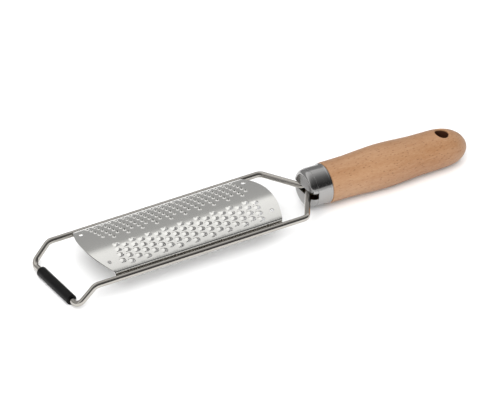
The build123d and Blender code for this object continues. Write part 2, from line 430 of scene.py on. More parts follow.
def tube(path, radius, sides):
    """Round tube along a path, with closed ends: points, faces and a UV of turn and distance."""
    directions = [(b - a).normalized() for a, b in zip(path, path[1:])]
    tangents = [directions[0]]
    tangents += [(a + b).normalized() for a, b in zip(directions, directions[1:])]
    tangents.append(directions[-1])
    side = tangents[0].orthogonal().normalized()
    points, distances = [], [0.0]
    for index, (centre, tangent) in enumerate(zip(path, tangents)):
        side = (side - tangent * side.dot(tangent)).normalized()
        other = tangent.cross(side)
        for step in range(sides):
            turn = 2 * pi * step / sides
            points.append(centre + (side * cos(turn) + other * sin(turn)) * radius)
        if index:
            distances.append(distances[-1] + (centre - path[index - 1]).length)
    faces, steps = grid_faces(len(path), sides)
    uvs = [(column / sides, distances[row] * MM) for column, row in steps]
    last = (len(path) - 1) * sides
    for cap in (range(sides - 1, -1, -1), range(last, last + sides)):
        faces.append(tuple(cap))
        uvs += [(0.0, 0.0)] * sides
    return points, faces, uvs


def arc(centre, radius, first, last, steps):
    """Points of an arc in the plane of a section, between two angles in degrees."""
    turns = [radians(first + (last - first) * step / steps) for step in range(steps + 1)]
    return [(centre[0] + radius * cos(turn), centre[1] + radius * sin(turn)) for turn in turns]


def turned_ring(profile, sides):
    """A closed section of (x, radius) points turned round the X axis."""
    closed = profile + profile[:1]
    points = []
    for x, radius in closed:
        for step in range(sides):
            turn = 2 * pi * step / sides
            points.append((x, radius * cos(turn), radius * sin(turn)))
    return points, grid_faces(len(closed), sides)[0]


def triangulate(outline, holes, loose_points):
    """Triangles over an outline with holes, through loose points: flat points and faces.

    Each hole is a loop of points with a test that tells which of many points lie inside it.
    """
    points = [Vector(point) for point in outline]
    edges = [(i, (i + 1) % len(outline)) for i in range(len(outline))]
    for loop, _ in holes:
        first = len(points)
        points += [Vector(point) for point in loop]
        edges += [(first + i, first + (i + 1) % len(loop)) for i in range(len(loop))]
    points += [Vector(point) for point in loose_points]
    border = [tuple(range(len(outline)))]
    inside_only, weld_distance = 1, 1e-6
    flat, _, faces, _, _, _ = delaunay_2d_cdt(points, edges, border, inside_only, weld_distance)
    flat = np.array([tuple(point) for point in flat])
    faces = np.array([tuple(face) for face in faces])
    centres = flat[faces].mean(axis=1)
    keep = np.ones(len(faces), bool)
    for loop, inside in holes:
        low = np.min(loop, axis=0)
        high = np.max(loop, axis=0)
        near = np.all((centres > low) & (centres < high), axis=1) & keep
        found = np.flatnonzero(near)
        keep[found[inside(centres[found])]] = False
    used, faces = np.unique(faces[keep], return_inverse=True)
    return flat[used], faces.reshape(-1, 3)


def apart(candidates, taken, gap):
    """The candidates that lie further than a gap from every taken point."""
    tree = KDTree(len(taken))
    for index, (x, y) in enumerate(taken):
        tree.insert((x, y, 0), index)
    tree.balance()
    return [point for point in candidates if tree.find((point[0], point[1], 0))[2] > gap]


class PlateForm:
    """The plate's section and plan: flat places on the unrolled sheet and their solid points."""

    def __init__(self, plate):
        self.plate = plate
        self.half = node_box("grater_plate")[1].y
        self.crown = plate.flange_stand + plate.rise
        self.arch_radius = (self.half**2 + plate.rise**2) / (2 * plate.rise)
        inner = self.arch_radius - plate.bend_radius
        self.arch_turn = asin((self.half - plate.bend_radius) / inner)
        self.bend_z = self.crown - self.arch_radius + inner * cos(self.arch_turn)
        self.arch_reach = self.arch_radius * self.arch_turn
        self.bend_reach = self.arch_reach + plate.bend_radius * (pi / 2 - self.arch_turn)
        self.reach = self.bend_reach + self.bend_z

    def across(self, y):
        """Unrolled distance from the centre line of a point of the arch."""
        return self.arch_radius * asin(y / self.arch_radius)

    def section(self, across):
        """Y, Z and the normal's tilt from upright, for unrolled distances from the centre line."""
        side = np.sign(across)
        far = np.abs(across)
        tilt = np.minimum(far, self.arch_reach) / self.arch_radius
        y = self.arch_radius * np.sin(tilt)
        z = self.crown - self.arch_radius * (1 - np.cos(tilt))
        bent = far > self.arch_reach
        radius = self.plate.bend_radius
        turned = self.arch_turn + (np.minimum(far, self.bend_reach) - self.arch_reach) / radius
        tilt = np.where(bent, turned, tilt)
        y = np.where(bent, self.half - radius + radius * np.sin(turned), y)
        z = np.where(bent, self.bend_z + radius * np.cos(turned), z)
        z = z - np.maximum(far - self.bend_reach, 0)
        return side * y, z, side * tilt

    def solid(self, flat, lift):
        """Solid points for flat places, raised from the sheet along its normal."""
        y, z, tilt = self.section(flat[:, 1])
        return np.column_stack([flat[:, 0], y + lift * np.sin(tilt), z + lift * np.cos(tilt)])

    def end_x(self, across, bow):
        """How far a bowed end stands out at an unrolled distance from the centre line."""
        y = self.section(np.array([across]))[0][0]
        radius = (self.half**2 + bow**2) / (2 * bow)
        return bow - radius + sqrt(max(radius**2 - y**2, 0))

    def outline(self, step):
        """The edge of the unrolled sheet, from the near front corner round to the far one."""
        plate = self.plate
        count = 2 * round(self.reach / step)
        stops = sorted({-self.reach + 2 * self.reach * i / count for i in range(count + 1)})
        length_count = round(plate.length / step)
        rear = [(plate.length + self.end_x(v, plate.rear_bow), v) for v in stops]
        front = [(-self.end_x(v, plate.front_bow), v) for v in reversed(stops)]
        inner = [plate.length * i / length_count for i in range(1, length_count)]
        near_side = [(x, -self.reach) for x in inner]
        far_side = [(x, self.reach) for x in reversed(inner)]
        return near_side + rear + far_side + front


def coarse_seats(form, teeth):
    """Flat places of the tongues' roots: columns start at the near side and lean back inwards."""
    span = form.plate.length - teeth.front_margin - teeth.rear_margin
    outer_y = form.half - teeth.side_margin
    columns = int(span / teeth.column_pitch) + 1
    rows = int((outer_y - teeth.centre_margin) / teeth.row_pitch) + 1
    seats = []
    for column in range(columns):
        for row in range(rows):
            inward = teeth.row_pitch * row - teeth.stagger * (column % 2)
            x = teeth.front_margin + teeth.column_pitch * column + teeth.slant * inward
            seats.append((x, form.across(inward - outer_y)))
    return seats


def fine_seats(form, teeth):
    """Flat places of the burrs. The row next to the centre line fills every second column."""
    span = form.plate.length - teeth.front_margin - teeth.rear_margin
    width = form.half - teeth.side_margin - teeth.centre_margin
    columns = int(span / teeth.column_pitch) + 1
    rows = int(width / teeth.row_pitch) + 1
    seats = []
    for row in range(rows):
        outward = teeth.row_pitch * row
        step = 2 if row == 0 else 1
        for column in range(step - 1, columns, step):
            x = teeth.front_margin + teeth.column_pitch * column + teeth.slant * outward
            seats.append((x, form.across(teeth.centre_margin + outward)))
    return seats


def u_shape(tongue_length, width, step):
    """Half-round tongue outline about its root, from its far corner round the tip to the near one."""
    half = width / 2
    straight = tongue_length - half
    count = max(2, round(straight / step))
    turns = max(6, round(pi * half / step))
    far = [(straight * i / count, half) for i in range(count)]
    near = [(straight * (count - i) / count, -half) for i in range(1, count + 1)]
    tip = [(straight + half * sin(pi * i / turns), half * cos(pi * i / turns)) for i in range(turns + 1)]
    return far + tip + near


def in_u_shape(points, tongue_length, width):
    """Which points lie inside a half-round tongue outline about its root."""
    half = width / 2
    straight = tongue_length - half
    box = (points[:, 0] > 0) & (points[:, 0] <= straight) & (np.abs(points[:, 1]) < half)
    tip = np.hypot(points[:, 0] - straight, points[:, 1]) < half
    return box | (tip & (points[:, 0] > straight))


def slit_hole(seat, teeth, step):
    """The U-shaped slit round one tongue, as a loop and its inside test."""
    opening = (teeth.tongue_length + teeth.mouth_gap, teeth.tongue_width + 2 * teeth.slit_gap)
    tongue = (teeth.tongue_length, teeth.tongue_width)
    loop = u_shape(*opening, step) + u_shape(*tongue, step)[::-1]
    loop = [(seat[0] + x, seat[1] + y) for x, y in loop]

    def inside(points):
        local = points - np.array(seat)
        return in_u_shape(local, *opening) & ~in_u_shape(local, *tongue)

    return loop, inside


def round_hole(seat, radius, count):
    """A round hole, as a loop and its inside test."""
    loop = ring_points(seat, radius, count, 0)

    def inside(points):
        return np.hypot(*(points - np.array(seat)).T) < radius

    return loop, inside


def ring_points(centre, radius, count, shift):
    """Points round a circle, turned by a share of one step."""
    turns = [2 * pi * (i + shift) / count for i in range(count)]
    return [(centre[0] + radius * cos(turn), centre[1] + radius * sin(turn)) for turn in turns]


def step_points(low, high, step):
    """A staggered lattice of points over a rectangle."""
    rows = np.arange(low[1], high[1], step * sqrt(3) / 2)
    lattice = []
    for index, v in enumerate(rows):
        lattice += [(x, v) for x in np.arange(low[0] + (index % 2) * step / 2, high[0], step)]
    return lattice


def plate_lift(flat, tongues, burrs, coarse, fine):
    """How far each flat point is raised off the sheet, and how much of the sheet's wall it keeps."""
    lift = np.zeros(len(flat))
    wall = np.ones(len(flat))
    margin = 0.01
    bend_power, dish_depth = 1.25, 0.12
    tip_thinning, thinning_power = 0.45, 4
    for seat in tongues:
        local = flat - np.array(seat)
        size = (coarse.tongue_length + 2 * margin, coarse.tongue_width + 2 * margin)
        near = in_u_shape(local + (margin, 0), *size)
        along = np.clip(local[near, 0] / coarse.tongue_length, 0, 1)
        bent = along**bend_power
        dish = dish_depth * bent * (1 - (2 * local[near, 1] / coarse.tongue_width) ** 2)
        lift[near] = coarse.tongue_rise * bent + dish
        wall[near] = 1 - tip_thinning * along**thinning_power
    base = fine.base_diameter / 2
    lip = fine.lip_diameter / 2
    bore = fine.bore_diameter / 2
    lip_thinning, turn_step = 0.7, 1.3
    for index, seat in enumerate(burrs):
        local = flat - np.array(seat)
        distance = np.hypot(local[:, 0], local[:, 1])
        near = distance < base
        mound = np.clip((base - distance[near]) / (base - lip), 0, 1)
        steep = np.clip((lip - distance[near]) / (lip - bore), 0, 1)
        turn = np.arctan2(local[near, 1], local[near, 0])
        torn = 1 + fine.petal_depth * np.cos(fine.petals * turn + turn_step * index)
        lift[near] = fine.mound_height * mound + (fine.height - fine.mound_height) * steep * torn
        wall[near] = 1 - lip_thinning * steep
    return lift, wall


def plate_holes(form, tongues, burrs, coarse, fine):
    """Slits, bores and corner holes of the sheet, each as a loop and its inside test."""
    plate = form.plate
    holes = [slit_hole(seat, coarse, plate.tooth_step * SLIT_STEP_SHARE) for seat in tongues]
    holes += [round_hole(seat, fine.bore_diameter / 2, BURR_SIDES) for seat in burrs]
    corner_v = form.across(form.half - plate.hole_inset_y)
    for x in (plate.front_hole_inset, plate.length - plate.rear_hole_inset):
        for v in (-corner_v, corner_v):
            holes.append(round_hole((x, v), plate.hole_diameter / 2, CORNER_HOLE_SIDES))
    return holes


def burr_rings(burrs, fine):
    """Mesh points in rings round the burrs, every second ring turned by half a step."""
    bore = fine.bore_diameter / 2
    rings = []
    for seat in burrs:
        for index, share in enumerate(BURR_RING_SHARES):
            radius = bore + share * (fine.base_diameter / 2 - bore)
            rings += ring_points(seat, radius, BURR_SIDES, 0.5 * ((index + 1) % 2))
    return rings


def tongue_lattice(form, tongues, coarse):
    """Close lattice of mesh points on and round the tongues."""
    step = form.plate.tooth_step
    reach = coarse.tongue_width / 2 + coarse.slit_gap + step
    points = []
    for x, v in tongues:
        low = (x - 2 * step, v - reach)
        high = (x + coarse.tongue_length + coarse.mouth_gap + step, v + reach)
        points += step_points(low, high, step)
    return points


def build_grater_plate(material):
    """Unrolled sheet with its slits and holes, raised at the teeth, bent to shape and given a wall."""
    scene = bpy.context.scene
    plate = in_mm(scene.zester_plate)
    coarse = in_mm(scene.zester_coarse)
    fine = in_mm(scene.zester_fine)
    form = PlateForm(plate)
    tongues = coarse_seats(form, coarse)
    burrs = fine_seats(form, fine)
    outline = form.outline(plate.mesh_step)
    holes = plate_holes(form, tongues, burrs, coarse, fine)
    rings = burr_rings(burrs, fine)

    taken = outline + [point for loop, _ in holes for point in loop] + rings
    tooth_points = tongue_lattice(form, tongues, coarse)
    tooth_points = apart(tooth_points, taken, plate.tooth_step * NEAREST_SHARE)
    tooth_points = thinned(tooth_points, plate.tooth_step * TOOTH_GAP_SHARE)
    low = (-plate.front_bow, -form.reach)
    high = (plate.length + plate.rear_bow, form.reach)
    sheet_points = sheet_lattice(form, low, high)
    sheet_points = apart(sheet_points, taken + tooth_points, plate.mesh_step * NEAREST_SHARE)
    loose = [point for point in rings + tooth_points + sheet_points if within_sheet(form, point)]

    flat, faces = triangulate(outline, holes, loose)
    lift, wall = plate_lift(flat, tongues, burrs, coarse, fine)
    points = form.solid(flat, lift)
    piece = make_piece("grater_plate_sheet", points.tolist(), faces.tolist(), station_seat(), material)
    group = piece.vertex_groups.new(name="wall")
    for index, share in enumerate(wall):
        group.add([index], share, "REPLACE")
    solidify = piece.modifiers.new("wall", "SOLIDIFY")
    solidify.thickness = plate.thickness * MM
    solidify.offset = -1
    solidify.vertex_group = group.name
    bake_modifiers(piece)
    piece.data.set_sharp_from_angle(angle=radians(48))
    return piece


def sheet_lattice(form, low, high):
    """Lattice for the plain sheet, with close rows along the two bends."""
    plate = form.plate
    points = step_points(low, high, plate.mesh_step)
    points = [p for p in points if abs(p[1]) < form.arch_reach - plate.mesh_step / 2]
    bend_rows = 6
    for side in (-1, 1):
        for row in range(bend_rows):
            v = form.arch_reach + (form.bend_reach - form.arch_reach) * row / (bend_rows - 1)
            xs = np.arange(low[0] + plate.mesh_step * (row % 2) / 2, high[0], plate.mesh_step)
            points += [(x, side * v) for x in xs]
    return points


def within_sheet(form, point, margin=0.3):
    """Whether a flat point lies inside the sheet's edge."""
    plate = form.plate
    front = -form.end_x(point[1], plate.front_bow) + margin
    rear = plate.length + form.end_x(point[1], plate.rear_bow) - margin
    return front < point[0] < rear and abs(point[1]) < form.reach - margin


def thinned(points, gap):
    """The points, without those that lie nearer than a gap to one kept before."""
    kept, cells = [], {}
    for x, y in points:
        cell = (int(x // gap), int(y // gap))
        around = [cells.get((cell[0] + i, cell[1] + j)) for i in (-1, 0, 1) for j in (-1, 0, 1)]
        if all(other is None or hypot(other[0] - x, other[1] - y) > gap for other in around):
            cells[cell] = (x, y)
            kept.append((x, y))
    return kept


def build_wire_frame(material):
    """One length of wire, from one tang round the foot to the other tang."""
    wire = in_mm(bpy.context.scene.zester_wire)
    plate = in_mm(bpy.context.scene.zester_plate)
    rail_y = wire.rail_spacing / 2
    tang_y = wire.tang_pitch / 2
    rear_x = plate.length + wire.rail_tail
    neck = Vector((rear_x + wire.neck_reach, tang_y, 0))
    along_handle = (station_seat().inverted() @ handle_axis_seat()).to_3x3() @ Vector((1, 0, 0))
    one_side = [
        neck + along_handle * wire.tang_length,
        neck,
        Vector((rear_x, rail_y, 0)),
        Vector((-wire.rail_lead, rail_y, 0)),
        Vector((-wire.rail_lead - wire.arm_reach, wire.foot_spacing / 2, -wire.foot_drop)),
    ]
    other_side = [Vector((corner.x, -corner.y, corner.z)) for corner in reversed(one_side)]
    path = rounded_path(one_side + other_side, wire.bend_radius, arc_step=0.5)
    points, faces, uvs = tube(path, wire.diameter / 2, wire.sides)
    piece = make_piece("frame_wire_bent", points, faces, station_seat(), material, uvs)
    piece.data.set_sharp_from_angle(angle=radians(60))
    return piece


def build_foot_sleeve(material):
    """Rubber tube with rounded ends, turned about the crossbar."""
    wire = in_mm(bpy.context.scene.zester_wire)
    low, high = node_box("foot_sleeve")
    outer = (high.z - low.z) / 2
    bore = wire.sleeve_bore / 2
    half = (high.y - low.y) / 2
    edge = wire.sleeve_round
    lip = edge / 2
    edge_steps, lip_steps = 6, 4
    profile = arc((half - edge, outer - edge), edge, 90, 0, edge_steps)
    profile += arc((half - lip, bore + lip), lip, 0, -90, lip_steps)
    profile += arc((-half + lip, bore + lip), lip, -90, -180, lip_steps)
    profile += arc((-half + edge, outer - edge), edge, 180, 90, edge_steps)
    points, faces = turned_ring(profile, sides=72)
    seat = Matrix.Translation((low + high) / 2) @ Matrix.Rotation(pi / 2, 4, "Z")
    piece = make_piece("foot_rubber_sleeve", points, faces, seat, material)
    clean(piece)
    return piece


def ferrule_profile(ferrule):
    """Section of the cup as (x, radius): outside from nose to rim, then inside back to the nose."""
    slot_half = ferrule.slot_height / 2
    collar = ferrule.diameter / 2
    nose = collar - ferrule.nose_step
    cavity = nose - ferrule.wall
    bead = ferrule.bead_diameter / 2
    bead_x = ferrule.length - bead
    bead_radius = collar - bead / 2
    bead_turn = degrees(asin((collar - bead_radius) / bead))
    foot_run, foot_rise, bead_gap = 0.1, 0.02, 0.15
    face_rows, nose_steps, edge_steps, bead_steps, inner_steps = 6, 12, 5, 10, 8
    face = nose - ferrule.nose_round
    outside = [(0.0, slot_half + (face - slot_half) * i / face_rows) for i in range(face_rows)]
    outside += arc((ferrule.nose_round, face), ferrule.nose_round, 180, 90, nose_steps)
    outside += [(ferrule.nose_length - foot_run, nose), (ferrule.nose_length, nose + foot_rise)]
    round_centre = (ferrule.nose_length + ferrule.edge_round, collar - ferrule.edge_round)
    outside += arc(round_centre, ferrule.edge_round, 180, 90, edge_steps)
    outside += [(bead_x - 3 * bead, collar), (bead_x - bead - bead_gap, collar)]
    outside += arc((bead_x, bead_radius), bead, 180 - bead_turn, 0, bead_steps)
    inner_round = ferrule.nose_round - ferrule.wall
    inside = [(ferrule.length, cavity), (ferrule.slot_depth, cavity)]
    inner_centre = (ferrule.wall + inner_round, cavity - inner_round)
    inside += arc(inner_centre, inner_round, 90, 180, inner_steps)
    inside += [(ferrule.wall, slot_half)]
    return outside, inside


def slotted_rings(profile, slot_half):
    """Rings of points of a turned cup that is slotted across its axis.

    Gives the points and, for every step of the profile, the rows above the slot, below it and
    over its two ends.
    """
    arc_count, gap_count = 49, 7
    points, rows = [], []
    for x, radius in profile:
        edge = asin(min(1.0, slot_half / radius))
        spans = [(edge, pi - edge, arc_count), (pi + edge, 2 * pi - edge, arc_count),
                 (pi - edge, pi + edge, gap_count), (-edge, edge, gap_count)]
        rows.append([])
        for first, last, count in spans:
            rows[-1].append(list(range(len(points), len(points) + count)))
            points += [(x, radius * cos(turn), radius * sin(turn))
                       for turn in np.linspace(first, last, count)]
    return points, rows


def build_ferrule(material):
    """Lathe-turned cup whose nose is slotted across, built as rings that stop at the slot."""
    ferrule = in_mm(bpy.context.scene.zester_ferrule)
    outside, inside = ferrule_profile(ferrule)
    profile = outside + inside
    points, rows = slotted_rings(profile, ferrule.slot_height / 2)
    faces = []

    def join(from_rows, to_rows):
        for row, other in zip(from_rows, to_rows):
            for i in range(len(row) - 1):
                faces.append((row[i], row[i + 1], other[i + 1], other[i]))

    depth = ferrule.slot_depth
    for index in range(len(profile) - 1):
        join(rows[index][:2], rows[index + 1][:2])
        if min(profile[index][0], profile[index + 1][0]) >= depth:
            join(rows[index][2:], rows[index + 1][2:])
    outer_end = max(i for i, (x, _) in enumerate(outside) if x <= depth)
    inner_end = len(outside) + min(i for i, (x, _) in enumerate(inside) if x <= depth)
    join(rows[outer_end][2:], rows[inner_end][2:])
    in_slot = list(range(outer_end + 1)) + list(range(inner_end, len(profile)))
    for half in (0, 1):
        for end in (0, -1):
            faces.append(tuple(rows[index][half][end] for index in in_slot))
    piece = make_piece("ferrule_cup", points, faces, handle_axis_seat(), material)
    clean(piece)
    edge_softening = 0.12
    soften = piece.modifiers.new("edges", "BEVEL")
    soften.width = edge_softening * MM
    soften.segments = 2
    soften.limit_method = "ANGLE"
    soften.angle_limit = radians(50)
    bake_modifiers(piece)
    piece.data.set_sharp_from_angle(angle=radians(40))
    return piece


def clamped_spline(points, first_slope, last_slope, count):
    """Smooth curve through points with given end directions, as many points along it."""
    points = np.array(points, float)
    steps = np.linalg.norm(np.diff(points, axis=0), axis=1)
    n = len(points)
    matrix = np.zeros((n, n))
    right = np.zeros((n, 2))
    matrix[0, 0] = matrix[-1, -1] = 1
    right[0], right[-1] = first_slope, last_slope
    for i in range(1, n - 1):
        before, after = steps[i - 1], steps[i]
        matrix[i, i - 1:i + 2] = (after, 2 * (before + after), before)
        right[i] = 3 * (after * (points[i] - points[i - 1]) / before
                        + before * (points[i + 1] - points[i]) / after)
    slopes = np.linalg.solve(matrix, right)
    knots = np.concatenate([[0], np.cumsum(steps)])
    curve = []
    for place in np.linspace(0, knots[-1], count):
        i = min(np.searchsorted(knots, place, side="right") - 1, n - 2)
        t = (place - knots[i]) / steps[i]
        curve.append((1 + 2 * t) * (1 - t)**2 * points[i] + t * (1 - t)**2 * steps[i] * slopes[i]
                     + t**2 * (3 - 2 * t) * points[i + 1] + t**2 * (t - 1) * steps[i] * slopes[i + 1])
    return np.array(curve)


class HandleForm:
    """Outline of the turned handle, from the shoulder to the tip of the butt."""

    def __init__(self, handle):
        self.handle = handle
        scale = (handle.length, belly_radius())
        points = [(x * scale[0], r * scale[1]) for x, r in HANDLE_PROFILE_SHARES]
        self.curve = clamped_spline(points, (1, 0), (0, -1), count=1200)
        self.hole_x = handle.length - handle.hole_inset

    def radius(self, x):
        """Radius of the handle at a station."""
        return float(np.interp(x, self.curve[:, 0], self.curve[:, 1]))

    def sag(self, x):
        """How far the middle line is turned down near the butt."""
        sag_power = 1.3
        share = (x - self.handle.length + self.handle.sag_length) / self.handle.sag_length
        return self.handle.butt_sag * max(0.0, share)**sag_power

    def place(self, x, y, z):
        """A point beside the hole's axis, turned with the hole and lowered with the butt."""
        turn = self.handle.hole_turn
        return (x, y * cos(turn) - z * sin(turn), y * sin(turn) + z * cos(turn) - self.sag(x))

    def point(self, x, turn):
        """Point of the surface, with the turn counted from the hole's top towards +Y."""
        radius = self.radius(x)
        return self.place(x, radius * sin(turn), radius * cos(turn))

    def stations(self, first, last):
        """Evenly spread (x, radius) along the outline between two stations."""
        first_gap, last_gap = 0.01, 0.001
        xs = self.curve[:, 0]
        part = self.curve[(xs > first + first_gap) & (xs < last - last_gap)]
        part = np.vstack([[first, self.radius(first)], part, [last, self.radius(last)]])
        distance = np.concatenate([[0], np.cumsum(np.linalg.norm(np.diff(part, axis=0), axis=1))])
        places = np.linspace(0, distance[-1], max(3, round(distance[-1] / self.handle.mesh_step)))
        return [(float(np.interp(d, distance, part[:, 0])), float(np.interp(d, distance, part[:, 1])))
                for d in places]


def ring_of(form, x, radius, sides):
    """Ring of points at a station of the handle, the first one on the hole's near side."""
    turns = [2 * pi * i / sides - pi / 2 for i in range(sides)]
    return [form.place(x, radius * sin(turn), radius * cos(turn)) for turn in turns]


def hole_band(form, first_x, last_x, sides):
    """The part of the handle that the hanging hole pierces: solid points and faces."""
    handle = form.handle
    middle_radius = form.radius(form.hole_x)
    rim = handle.hole_diameter / 2 + handle.hole_round
    ring_steps = [(2 * pi * i / sides - pi / 2) * middle_radius for i in range(sides + 1)]
    seam_count = round((last_x - first_x) / handle.mesh_step)
    xs = [first_x + (last_x - first_x) * i / seam_count for i in range(seam_count + 1)]
    outline = [(x, ring_steps[0]) for x in xs[:-1]] + [(last_x, w) for w in ring_steps[:-1]]
    outline += [(x, ring_steps[-1]) for x in xs[:0:-1]] + [(first_x, w) for w in ring_steps[:0:-1]]

    def loop(radius, middle):
        side = 1 if middle == 0 else -1
        flat = []
        for x, y in ring_points((form.hole_x, 0), radius, HANGING_HOLE_SIDES, 0):
            flat.append((x, (middle + side * asin(y / form.radius(x))) * middle_radius))
        return flat

    def bore_test(middle):
        def inside(points):
            y = np.sin(points[:, 1] / middle_radius - middle)
            y *= np.interp(points[:, 0], form.curve[:, 0], form.curve[:, 1])
            return np.hypot(points[:, 0] - form.hole_x, y) < rim
        return inside

    holes, loose = [], []
    for middle in (0, pi):
        holes.append((loop(rim, middle), bore_test(middle)))
        for extra in HANGING_HOLE_RINGS:
            loose += loop(rim + extra, middle)
    taken = outline + [point for edge, _ in holes for point in edge] + loose
    lattice = [(x, w) for x in xs[1:-1] for w in ring_steps[1:-1]]
    free = apart(lattice, taken, handle.mesh_step * NEAREST_SHARE)
    free = [p for p in free if not any(test(np.array([p]))[0] for _, test in holes)]
    flat, faces = triangulate(outline, holes, loose + free)
    points = [form.point(x, w / middle_radius) for x, w in flat]
    return points, [tuple(face) for face in faces]


def hole_wall(form):
    """Rounded rims and bore of the hanging hole, from the top surface to the bottom one."""
    handle = form.handle
    rim_steps, bore_steps = 5, 12
    bore = handle.hole_diameter / 2
    rim = bore + handle.hole_round
    levels = []
    for step in range(rim_steps + 1):
        turn = pi / 2 * step / rim_steps
        levels.append((rim - handle.hole_round * sin(turn), handle.hole_round * (1 - cos(turn))))
    points = []
    middle = ring_points((form.hole_x, 0), 1.0, HANGING_HOLE_SIDES, 0)
    heights = []
    for x, y in middle:
        at_x = form.hole_x + (x - form.hole_x) * rim
        heights.append(sqrt(form.radius(at_x)**2 - (y * rim)**2))

    def ring(radius, level):
        for (x, y), height in zip(middle, heights):
            at_x = form.hole_x + (x - form.hole_x) * radius
            points.append(form.place(at_x, y * radius, level(height)))

    for radius, depth in levels:
        ring(radius, lambda height: height - depth)
    for step in range(1, bore_steps):
        ring(bore, lambda height: (height - handle.hole_round) * (1 - 2 * step / bore_steps))
    for radius, depth in reversed(levels):
        ring(radius, lambda height: depth - height)
    return points, grid_faces(len(points) // HANGING_HOLE_SIDES, HANGING_HOLE_SIDES)[0]


def build_handle(material):
    """Turned beech handle with its drilled hanging hole."""
    handle = in_mm(bpy.context.scene.zester_handle)
    form = HandleForm(handle)
    sides = handle.sides
    steps_beside_hole = 3
    margin = handle.hole_diameter / 2 + handle.hole_round + steps_beside_hole * handle.mesh_step
    first_x, last_x = form.hole_x - margin, form.hole_x + margin
    edge = handle.shoulder_round
    shoulder = arc((edge, form.radius(0) - edge), edge, 180, 90, 5)
    front = [(0.0, form.radius(0) * share) for share in (0.25, 0.5, 0.75)]
    rings_before = front + shoulder[:-1] + form.stations(edge, first_x)
    rings_after = form.stations(last_x, handle.length)[:-1]

    points, faces = [], []

    def add(more_points, more_faces):
        shift = len(points)
        points.extend(more_points)
        faces.extend(tuple(shift + i for i in face) for face in more_faces)

    for rings in (rings_before, rings_after):
        add([p for x, r in rings for p in ring_of(form, x, r, sides)], grid_faces(len(rings), sides)[0])
    cap = list(range(sides))
    add(ring_of(form, *rings_before[0], sides), [tuple(reversed(cap))])
    tip = (handle.length, 0.0, -form.sag(handle.length))
    fan = [(i, (i + 1) % sides, sides) for i in range(sides)]
    add(ring_of(form, *rings_after[-1], sides) + [tip], fan)
    add(*hole_band(form, first_x, last_x, sides))
    add(*hole_wall(form))
    ferrule = in_mm(bpy.context.scene.zester_ferrule)
    seat = handle_axis_seat() @ Matrix.Translation((ferrule.length, 0, 0))
    piece = make_piece("handle_turned", points, faces, seat, material)
    clean(piece, weld_distance=0.02)
    mark_hole_depth(piece, form, seat)
    piece.data.set_sharp_from_angle(angle=radians(50))
    return piece


def mark_hole_depth(piece, form, seat):
    """Write how deep each point of the hanging hole's wall lies, in millimetres, for the painted shade
    deep in the hole.
    """
    to_hole = Matrix.Rotation(-form.handle.hole_turn, 4, "X")
    rim = form.handle.hole_diameter / 2 + form.handle.hole_round / 2
    depths = []
    for vertex in piece.data.vertices:
        local = seat.inverted() @ (vertex.co / MM)
        x, y, z = to_hole @ (local + Vector((0, 0, form.sag(local.x))))
        within = hypot(x - form.hole_x, y) < rim
        depths.append(max(0.0, sqrt(max(form.radius(x)**2 - y**2, 0)) - abs(z)) if within else 0.0)
    layer = piece.data.attributes.new("hole_depth", "FLOAT", "POINT")
    layer.data.foreach_set("value", depths)


def add_node(tree, kind, settings=None, inputs=None, stops=None):
    """Add a shader node. An input is a value or another node's output, a stop a place and a colour."""
    node = tree.nodes.new(kind)
    for name, value in (settings or {}).items():
        setattr(node, name, value)
    for name, value in (inputs or {}).items():
        if isinstance(value, bpy.types.NodeSocket):
            tree.links.new(value, node.inputs[name])
        else:
            node.inputs[name].default_value = value
    for index, (place, shade) in enumerate(stops or []):
        ends = node.color_ramp.elements
        stop = ends[index] if index < 2 else ends.new(place)
        stop.position = place
        stop.color = shade
    return node


def grey(value):
    """A neutral colour for a ramp stop."""
    return (value, value, value, 1.0)


def new_material(name, **shader_values):
    """A material whose shader has plain values: the material, its node tree and its shader."""
    material = bpy.data.materials.new(name)
    material.use_nodes = True
    tree = material.node_tree
    shader = tree.nodes["Principled BSDF"]
    for socket, value in shader_values.items():
        shader.inputs[socket.replace("_", " ")].default_value = value
    return material, tree, shader


def finish_colour(name):
    """A colour of the finishes as red, green, blue and alpha."""
    return (*getattr(bpy.context.scene.zester_finishes, name), 1.0)


def drawn_stainless_wire():
    """Stainless wire, drawn and then polished: sharp long highlights with faint lines along it."""
    material, tree, shader = new_material(
        "drawn_stainless_wire", Base_Color=finish_colour("wire"), Metallic=1.0)
    uv = add_node(tree, "ShaderNodeUVMap", {"uv_map": "Surface"})
    # The die's real lines are finer. These are as coarse as a picture needs.
    lines_round_wire, line_length_mm = 26, 12
    stretch = add_node(tree, "ShaderNodeMapping", None, {
        "Vector": uv.outputs["UV"], "Scale": (lines_round_wire, 1000 / line_length_mm, 1)})
    lines = add_node(tree, "ShaderNodeTexNoise", None, {
        "Vector": stretch.outputs["Vector"], "Scale": 1.0, "Detail": 3.0})
    roughness = add_node(tree, "ShaderNodeMapRange", None, {
        "Value": lines.outputs["Fac"], "From Min": 0.3, "From Max": 0.7, "To Min": 0.05, "To Max": 0.12})
    bump = add_node(tree, "ShaderNodeBump", None, {
        "Height": lines.outputs["Fac"], "Strength": 0.12, "Distance": 0.02 * MM})
    tree.links.new(roughness.outputs["Result"], shader.inputs["Roughness"])
    tree.links.new(bump.outputs["Normal"], shader.inputs["Normal"])
    return material


